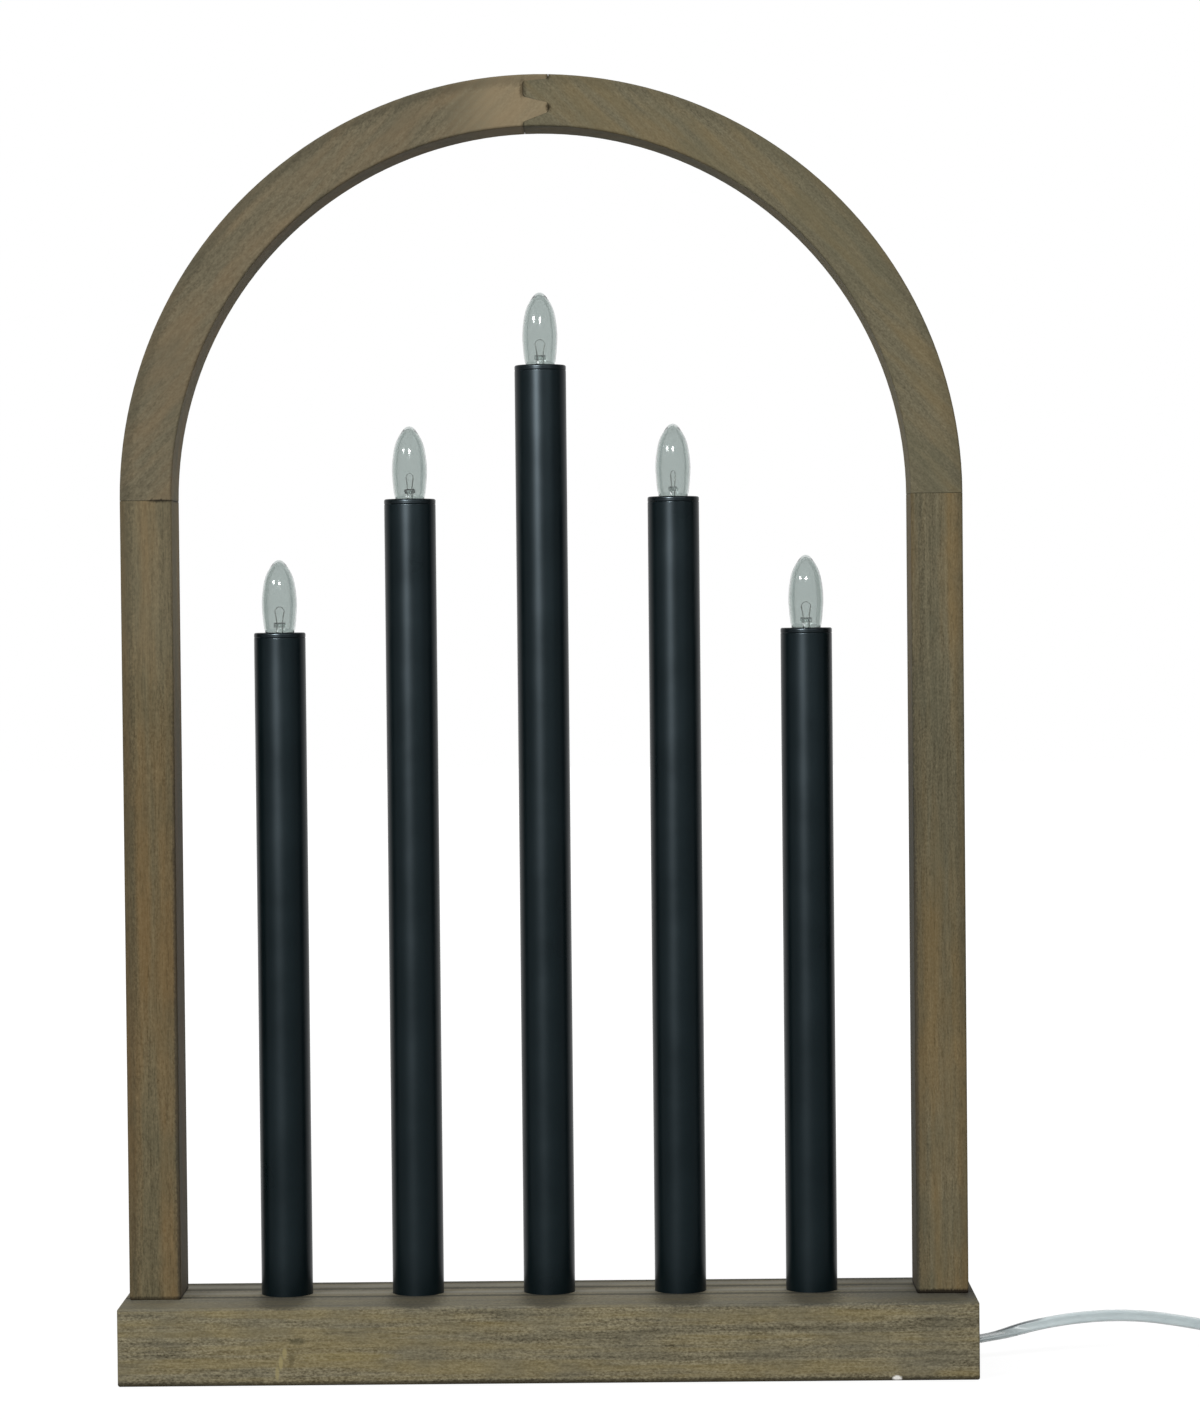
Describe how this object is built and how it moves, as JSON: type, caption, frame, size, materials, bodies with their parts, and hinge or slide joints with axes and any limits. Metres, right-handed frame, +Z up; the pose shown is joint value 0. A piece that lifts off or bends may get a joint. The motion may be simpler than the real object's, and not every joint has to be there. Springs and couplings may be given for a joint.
{
  "type": "electric candle arch",
  "caption": "Free-standing wooden arch on a block, with electric candles on stepped black tubes whose bulbs unscrew; flat cord with a two-pin plug.",
  "frame": {"origin": "middle of the underside of the base block", "axes": "+Z up, +X to the right of someone who faces the front, -Y to the front; the legs and candles stand on a line 4.5 mm behind the middle of the block"},
  "size_m": [0.532, 0.0783, 0.5019],
  "materials": {
    "stained_pine": "stained, matt",
    "hardboard": "pressed board",
    "zinc_steel": "zinc plated",
    "beech_dowel": "plain",
    "black_tube": "satin",
    "black_holder": "moulded",
    "brass": "plain",
    "vitrite": "black glass insulator",
    "clear_glass": "clear",
    "lead_wire": "oxidised nickel",
    "wire_insulation": "PVC",
    "clamp_plastic": "moulded",
    "clear_cord": "clear PVC",
    "tie_paper": "coated wire tie",
    "plug_plastic": "clear-white PVC",
    "nickel_pin": "nickel plated"
  },
  "bodies": {
    "frame": {"base_block": "stained_pine", "leg_left": "stained_pine", "leg_right": "stained_pine", "arch_left": "stained_pine", "arch_right": "stained_pine", "base_cover": "hardboard", "cover_screws": "zinc_steel", "clamp_screws": "zinc_steel", "leg_dowels": "beech_dowel", "arch_dowels": "beech_dowel", "candle_tube_1": "black_tube", "lamp_holder_1": "black_holder", "thread_shell_1": "brass", "centre_contact_1": "brass", "candle_tube_2": "black_tube", "lamp_holder_2": "black_holder", "thread_shell_2": "brass", "centre_contact_2": "brass", "candle_tube_3": "black_tube", "lamp_holder_3": "black_holder", "thread_shell_3": "brass", "centre_contact_3": "brass", "candle_tube_4": "black_tube", "lamp_holder_4": "black_holder", "thread_shell_4": "brass", "centre_contact_4": "brass", "candle_tube_5": "black_tube", "lamp_holder_5": "black_holder", "thread_shell_5": "brass", "centre_contact_5": "brass", "link_wires": "wire_insulation", "core_near": "wire_insulation", "core_far": "wire_insulation", "cord_clamp": "clamp_plastic", "cord_lead": "clear_cord", "cord_coil": "clear_cord", "cord_tie": "tie_paper", "plug_body": "plug_plastic", "plug_pins": "nickel_pin"},
    "bulb_1": {"bulb_cap_1": "brass", "bulb_glass_1": "clear_glass", "bulb_filament_1": "lead_wire"},
    "tip_1": {"bulb_tip_1": "vitrite"},
    "bulb_2": {"bulb_cap_2": "brass", "bulb_glass_2": "clear_glass", "bulb_filament_2": "lead_wire"},
    "tip_2": {"bulb_tip_2": "vitrite"},
    "bulb_3": {"bulb_cap_3": "brass", "bulb_glass_3": "clear_glass", "bulb_filament_3": "lead_wire"},
    "tip_3": {"bulb_tip_3": "vitrite"},
    "bulb_4": {"bulb_cap_4": "brass", "bulb_glass_4": "clear_glass", "bulb_filament_4": "lead_wire"},
    "tip_4": {"bulb_tip_4": "vitrite"},
    "bulb_5": {"bulb_cap_5": "brass", "bulb_glass_5": "clear_glass", "bulb_filament_5": "lead_wire"},
    "tip_5": {"bulb_tip_5": "vitrite"}
  },
  "joints": [
    {"name": "bulb_lift_1", "type": "slide", "parent": "frame", "child": "tip_1", "axis": [0, 0, 1], "range_m": [0, 0.00771]},
    {"name": "bulb_turn_1", "type": "hinge", "parent": "tip_1", "child": "bulb_1", "pos_m": [-0.1024, 0.0045, 0.288], "axis": [0, 0, 1], "range_deg": [0, 1530]},
    {"name": "bulb_lift_2", "type": "slide", "parent": "frame", "child": "tip_2", "axis": [0, 0, 1], "range_m": [0, 0.00771]},
    {"name": "bulb_turn_2", "type": "hinge", "parent": "tip_2", "child": "bulb_2", "pos_m": [-0.0512, 0.0045, 0.3394], "axis": [0, 0, 1], "range_deg": [0, 1530]},
    {"name": "bulb_lift_3", "type": "slide", "parent": "frame", "child": "tip_3", "axis": [0, 0, 1], "range_m": [0, 0.00771]},
    {"name": "bulb_turn_3", "type": "hinge", "parent": "tip_3", "child": "bulb_3", "pos_m": [0, 0.0045, 0.3908], "axis": [0, 0, 1], "range_deg": [0, 1530]},
    {"name": "bulb_lift_4", "type": "slide", "parent": "frame", "child": "tip_4", "axis": [0, 0, 1], "range_m": [0, 0.00771]},
    {"name": "bulb_turn_4", "type": "hinge", "parent": "tip_4", "child": "bulb_4", "pos_m": [0.0512, 0.0045, 0.3394], "axis": [0, 0, 1], "range_deg": [0, 1530]},
    {"name": "bulb_lift_5", "type": "slide", "parent": "frame", "child": "tip_5", "axis": [0, 0, 1], "range_m": [0, 0.00771]},
    {"name": "bulb_turn_5", "type": "hinge", "parent": "tip_5", "child": "bulb_5", "pos_m": [0.1024, 0.0045, 0.288], "axis": [0, 0, 1], "range_deg": [0, 1530]}
  ],
  "couplings": [
    {"joint": "bulb_lift_1", "follows": "bulb_turn_1", "m_per_rad": 0.00028871},
    {"joint": "bulb_lift_2", "follows": "bulb_turn_2", "m_per_rad": 0.00028871},
    {"joint": "bulb_lift_3", "follows": "bulb_turn_3", "m_per_rad": 0.00028871},
    {"joint": "bulb_lift_4", "follows": "bulb_turn_4", "m_per_rad": 0.00028871},
    {"joint": "bulb_lift_5", "follows": "bulb_turn_5", "m_per_rad": 0.00028871}
  ]
}
